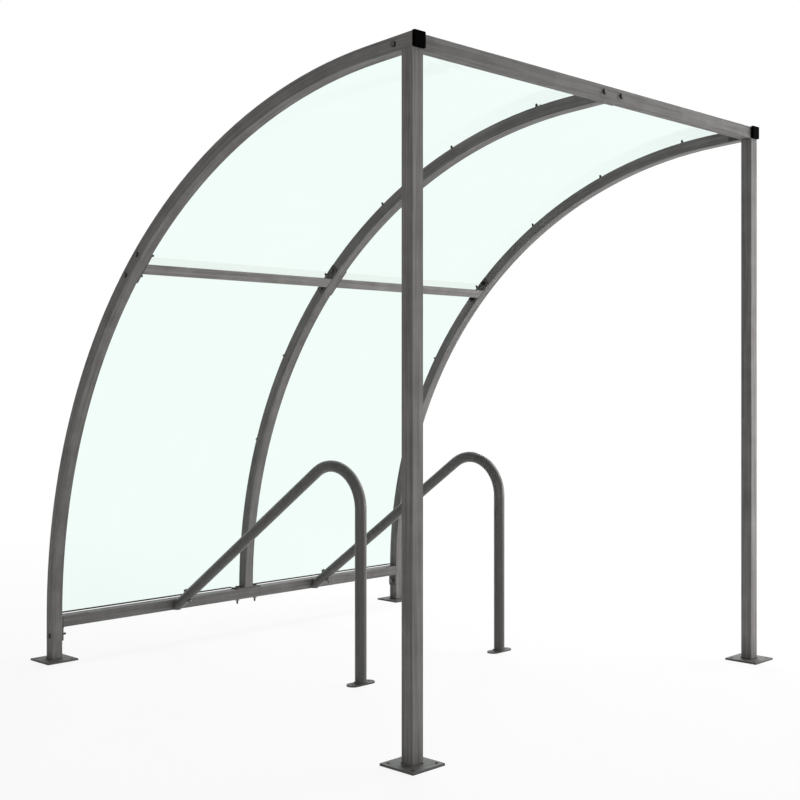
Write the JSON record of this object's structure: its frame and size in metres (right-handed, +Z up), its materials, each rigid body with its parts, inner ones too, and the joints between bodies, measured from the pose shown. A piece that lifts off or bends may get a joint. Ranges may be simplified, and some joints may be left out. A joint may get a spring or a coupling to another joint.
{
  "type": "bike shelter",
  "caption": "Open-fronted bike shelter: bent square-tube ribs under clear curved sheets, front posts with an eaves beam, and round-tube cycle hoops set against the bottom rail.",
  "frame": {"origin": "on the ground, under the middle of the shelter's outer box", "axes": "+X along the shelter from its left bay to its right bay, +Y from the open front to the back, +Z up"},
  "size_m": [2.325, 2.35, 2.3739],
  "materials": {
    "painted_steel": "satin grey powder coat",
    "painted_plate": "satin grey powder coat",
    "clear_sheet": "clear plastic sheet, pale green tint",
    "black_plastic": "satin moulded"
  },
  "bodies": {
    "root": {"front_post_left": "painted_steel", "front_post_right": "painted_steel", "rib_left": "painted_steel", "rib_middle": "painted_steel", "rib_right": "painted_steel", "front_beam": "painted_steel", "bottom_rail": "painted_steel", "mid_rail_left": "painted_steel", "mid_rail_right": "painted_steel", "cycle_hoop_left": "painted_steel", "cycle_hoop_right": "painted_steel", "front_base_plate_left": "painted_plate", "front_base_plate_right": "painted_plate", "rear_base_plate_left": "painted_plate", "rear_base_plate_right": "painted_plate", "front_beam_end_plate_left": "painted_plate", "front_beam_end_plate_right": "painted_plate", "middle_rib_head_plate": "painted_plate", "middle_rib_foot_plate": "painted_plate", "bottom_rail_end_plate_left": "painted_plate", "bottom_rail_end_plate_right": "painted_plate", "mid_rail_left_outer_plate": "painted_plate", "mid_rail_left_inner_plate": "painted_plate", "mid_rail_right_inner_plate": "painted_plate", "mid_rail_right_outer_plate": "painted_plate", "hoop_flange_left": "painted_plate", "hoop_flange_right": "painted_plate", "hoop_spigot_left": "painted_plate", "hoop_spigot_right": "painted_plate", "upper_sheet_left": "clear_sheet", "upper_sheet_right": "clear_sheet", "lower_sheet_left": "clear_sheet", "lower_sheet_right": "clear_sheet", "rib_end_cap_left": "black_plastic", "rib_end_cap_right": "black_plastic"}
  },
  "joints": []
}
